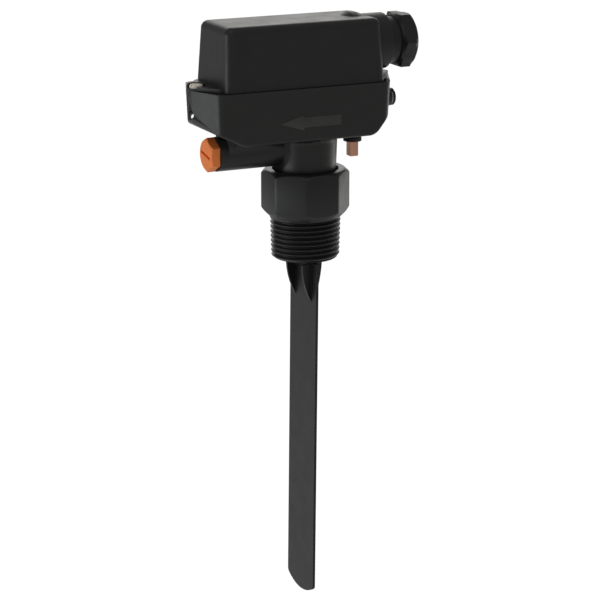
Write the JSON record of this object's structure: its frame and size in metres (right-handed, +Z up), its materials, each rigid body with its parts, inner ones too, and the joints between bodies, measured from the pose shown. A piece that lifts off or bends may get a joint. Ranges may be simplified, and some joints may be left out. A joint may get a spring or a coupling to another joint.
{
  "type": "paddle flow switch",
  "caption": "Paddle flow switch: taper thread and octagon below, hinged flow paddle, magnetic drive, covered switch housing with cable entry, range cap and test push rod.",
  "frame": {"origin": "on the process thread's axis, where the thread meets the octagon", "axes": "+Z up along the thread's axis, away from the pipe; the flow runs towards -X; the housing's front faces -Y; the cable entry points to +X"},
  "size_m": [0.1143, 0.0414, 0.2866],
  "materials": {
    "adapter_plastic": "moulded glass-filled nylon, satin",
    "brass": "turned",
    "copper": "copper-coloured, dull",
    "cover_plastic": "moulded glass-filled nylon, fine satin texture",
    "dark_steel": "blackened",
    "ferrite": "sintered ferrite",
    "gland_plastic": "moulded nylon, fine grain",
    "housing_plastic": "moulded glass-filled nylon, fine satin texture",
    "lever_plastic": "natural acetal",
    "orange_plastic": "satin",
    "paddle_plastic": "moulded nylon, satin",
    "pale_plastic": "cream, satin",
    "seal_rubber": "matt",
    "spring_steel": "drawn wire",
    "stainless": "turned",
    "switch_plastic": "moulded phenolic",
    "terminal_plastic": "grey moulded",
    "zinc_sheet": "zinc-plated sheet"
  },
  "bodies": {
    "housing": {"process_adapter": "adapter_plastic", "neck_seal": "seal_rubber", "hinge_carrier": "paddle_plastic", "pivot_pin": "stainless", "snap_ring": "stainless", "base_housing": "housing_plastic", "cover": "cover_plastic", "cover_gasket": "seal_rubber", "cover_screw": "pale_plastic", "gland_seal": "seal_rubber", "gland_washer": "stainless", "gland_nut": "gland_plastic", "test_collar": "seal_rubber", "test_retainer": "stainless", "end_washer": "stainless", "end_screw": "dark_steel", "switch_bracket": "zinc_sheet", "bracket_screws": "stainless", "follower_pin": "stainless", "snap_switch": "switch_plastic", "switch_screws": "stainless", "switch_nuts": "brass", "terminal_block": "terminal_plastic", "terminal_clamps": "brass", "terminal_screws": "stainless", "block_screws": "stainless"},
    "paddle": {"paddle": "paddle_plastic", "paddle_magnet": "ferrite"},
    "follower": {"follower_lever": "lever_plastic", "follower_magnet": "ferrite"},
    "plunger": {"switch_plunger": "pale_plastic"},
    "range_cap": {"adjusting_cap": "orange_plastic", "cap_seal": "seal_rubber"},
    "range_carrier": {"magnet_carrier": "lever_plastic", "bias_magnet": "ferrite"},
    "test_push": {"test_button": "copper", "test_rod": "stainless", "test_spring": "spring_steel"}
  },
  "joints": [
    {"name": "paddle_swing", "type": "hinge", "parent": "housing", "child": "paddle", "pos_m": [0, 0, 0.008], "axis": [0, 1, 0], "range_deg": [0, 12]},
    {"name": "follower_swing", "type": "hinge", "parent": "housing", "child": "follower", "pos_m": [0, 0, 0.057], "axis": [0, 1, 0], "range_deg": [-16, 0]},
    {"name": "plunger_travel", "type": "slide", "parent": "housing", "child": "plunger", "axis": [0, 0, 1], "range_m": [0, 0.0014]},
    {"name": "range_turn", "type": "hinge", "parent": "housing", "child": "range_cap", "pos_m": [-0.0466, 0, 0.0335], "axis": [1, 0, 0], "range_deg": [0, 300]},
    {"name": "carrier_slide", "type": "slide", "parent": "housing", "child": "range_carrier", "axis": [1, 0, 0], "range_m": [0, 0.005]},
    {"name": "test_push", "type": "slide", "parent": "housing", "child": "test_push", "axis": [0, 0, 1], "range_m": [0, 0.003], "stiffness_N_per_m": 400, "springref_m": -0.0025, "deforming": ["test_spring"]}
  ],
  "couplings": [
    {"joint": "follower_swing", "follows": "paddle_swing", "ratio": -1.29},
    {"joint": "plunger_travel", "follows": "paddle_swing", "m_per_rad": 0.0065},
    {"joint": "range_turn", "follows": "carrier_slide", "rad_per_m": 1047.2}
  ]
}
